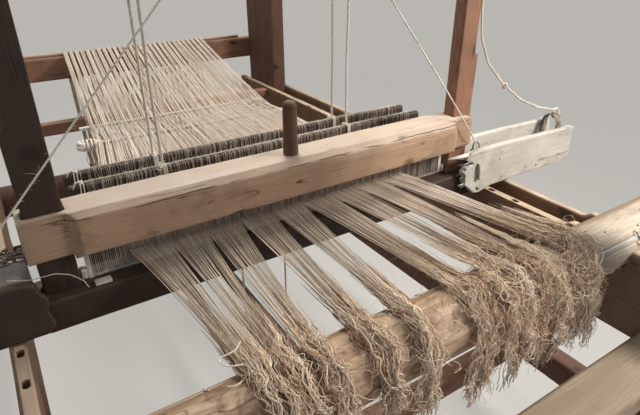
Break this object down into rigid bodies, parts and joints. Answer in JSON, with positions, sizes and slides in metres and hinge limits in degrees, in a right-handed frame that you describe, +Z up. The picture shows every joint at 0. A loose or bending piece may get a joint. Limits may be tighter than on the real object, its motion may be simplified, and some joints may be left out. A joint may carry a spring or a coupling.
{
  "type": "hand loom",
  "caption": "Timber hand loom with swinging batten, shuttle boxes, string heddles on two shafts, log cloth beam, warp beam and treadles; warp tied in loose bouts.",
  "frame": {"origin": "on the floor, under the middle of the loom's bounding box", "axes": "+X across the warp to the weaver's right, +Y from the weaver's side to the back, +Z up"},
  "size_m": [2.09, 2.465, 1.985],
  "materials": {
    "pale_timber": "dry, hand-sawn, worn",
    "brown_timber": "dry, hand-planed, waxed by handling",
    "dark_timber": "aged and darkened",
    "grey_timber": "weathered, unfinished",
    "iron": "forged, rusted",
    "twine": "hairy twisted hemp",
    "yarn": "unbleached linen and hemp",
    "leather": "dry, stiff"
  },
  "bodies": {
    "frame": {"front_posts": "brown_timber", "rear_posts": "brown_timber", "inner_planks": "pale_timber", "outer_planks": "pale_timber", "top_rails": "brown_timber", "low_rails": "brown_timber", "top_cross_rails": "brown_timber", "foot_cross_rails": "dark_timber", "seat_beam": "grey_timber", "knee_bar": "brown_timber", "back_rail": "brown_timber", "back_rod": "pale_timber", "lower_back_rail": "brown_timber", "pulley_bar": "brown_timber", "pulley_blocks": "dark_timber", "iron_axles": "iron", "rocker_blocks": "dark_timber", "frame_pegs": "pale_timber", "treadle_bracket": "dark_timber", "treadle_rod": "iron", "warp_sheet": "yarn", "warp_bouts": "yarn", "lease_sticks": "grey_timber", "heddle_cords": "twine"},
    "batten": {"rocker_beam": "dark_timber", "rocker_pins": "iron", "sword_left": "brown_timber", "sword_right": "brown_timber", "hand_tree": "brown_timber", "hand_peg": "brown_timber", "race_beam": "dark_timber", "reed": "grey_timber", "small_blocks": "grey_timber", "box_front_left": "dark_timber", "box_front_right": "grey_timber", "box_backs": "grey_timber", "picker_cord_left": "twine", "picker_cord_right": "twine", "pull_cord": "twine", "pull_handle": "brown_timber", "stay_cord": "twine", "end_strap": "leather"},
    "picker_left": {"picker_left": "leather"},
    "picker_right": {"picker_right": "leather"},
    "shaft_front": {"shaft_bars_front": "dark_timber", "heddles_front": "twine", "tie_cord_front": "twine"},
    "shaft_back": {"shaft_bars_back": "dark_timber", "heddles_back": "twine", "tie_cord_back": "twine"},
    "pulley_left": {"pulley_left": "brown_timber"},
    "pulley_right": {"pulley_right": "brown_timber"},
    "treadle_left": {"treadle_left": "brown_timber"},
    "treadle_right": {"treadle_right": "brown_timber"},
    "warp_beam": {"warp_beam": "brown_timber", "warp_roll": "yarn", "ratchet_wheel": "dark_timber"},
    "pawl": {"pawl": "iron"},
    "cloth_beam": {"cloth_log": "pale_timber", "log_lath": "grey_timber"}
  },
  "joints": [
    {"name": "batten_swing", "type": "hinge", "parent": "frame", "child": "batten", "pos_m": [0, -0.457, 1.925], "axis": [1, 0, 0], "range_deg": [-8, 4], "deforming": ["warp_bouts"]},
    {"name": "shaft_front_lift", "type": "slide", "parent": "frame", "child": "shaft_front", "axis": [0, 0, 1], "range_m": [-0.05, 0.05], "deforming": ["warp_sheet", "heddle_cords"]},
    {"name": "shaft_back_lift", "type": "slide", "parent": "frame", "child": "shaft_back", "axis": [0, 0, 1], "range_m": [-0.05, 0.05]},
    {"name": "pulley_left_turn", "type": "hinge", "parent": "frame", "child": "pulley_left", "pos_m": [-0.27, -0.26, 1.8], "axis": [1, 0, 0], "range_deg": [-77, 77]},
    {"name": "pulley_right_turn", "type": "hinge", "parent": "frame", "child": "pulley_right", "pos_m": [0.27, -0.26, 1.8], "axis": [1, 0, 0], "range_deg": [-77, 77]},
    {"name": "treadle_left_press", "type": "hinge", "parent": "frame", "child": "treadle_left", "pos_m": [-0.09, 0.8825, 0.158], "axis": [1, 0, 0], "range_deg": [-2.5, 2.5]},
    {"name": "treadle_right_press", "type": "hinge", "parent": "frame", "child": "treadle_right", "pos_m": [0.09, 0.8825, 0.158], "axis": [1, 0, 0], "range_deg": [-2.7, 2.7]},
    {"name": "picker_left_slide", "type": "slide", "parent": "batten", "child": "picker_left", "axis": [1, 0, 0], "range_m": [-0.22, 0.12], "deforming": ["picker_cord_left"]},
    {"name": "picker_right_slide", "type": "slide", "parent": "batten", "child": "picker_right", "axis": [1, 0, 0], "range_m": [0, 0.32], "deforming": ["picker_cord_right"]},
    {"name": "warp_beam_turn", "type": "hinge", "parent": "frame", "child": "warp_beam", "pos_m": [0, 1.0275, 0.4], "axis": [1, 0, 0], "continuous": true},
    {"name": "pawl_lift", "type": "hinge", "parent": "frame", "child": "pawl", "pos_m": [0.754, 0.9025, 0.462], "axis": [1, 0, 0], "range_deg": [0, 18]},
    {"name": "cloth_beam_turn", "type": "hinge", "parent": "frame", "child": "cloth_beam", "pos_m": [0, -0.9125, 0.758], "axis": [1, 0, 0], "continuous": true}
  ],
  "couplings": [
    {"joint": "shaft_back_lift", "follows": "shaft_front_lift", "ratio": -1},
    {"joint": "pulley_left_turn", "follows": "shaft_front_lift", "rad_per_m": -26.667},
    {"joint": "pulley_right_turn", "follows": "shaft_front_lift", "rad_per_m": -26.667},
    {"joint": "treadle_left_press", "follows": "shaft_front_lift", "rad_per_m": -0.84746},
    {"joint": "treadle_right_press", "follows": "shaft_front_lift", "rad_per_m": 0.90498}
  ]
}
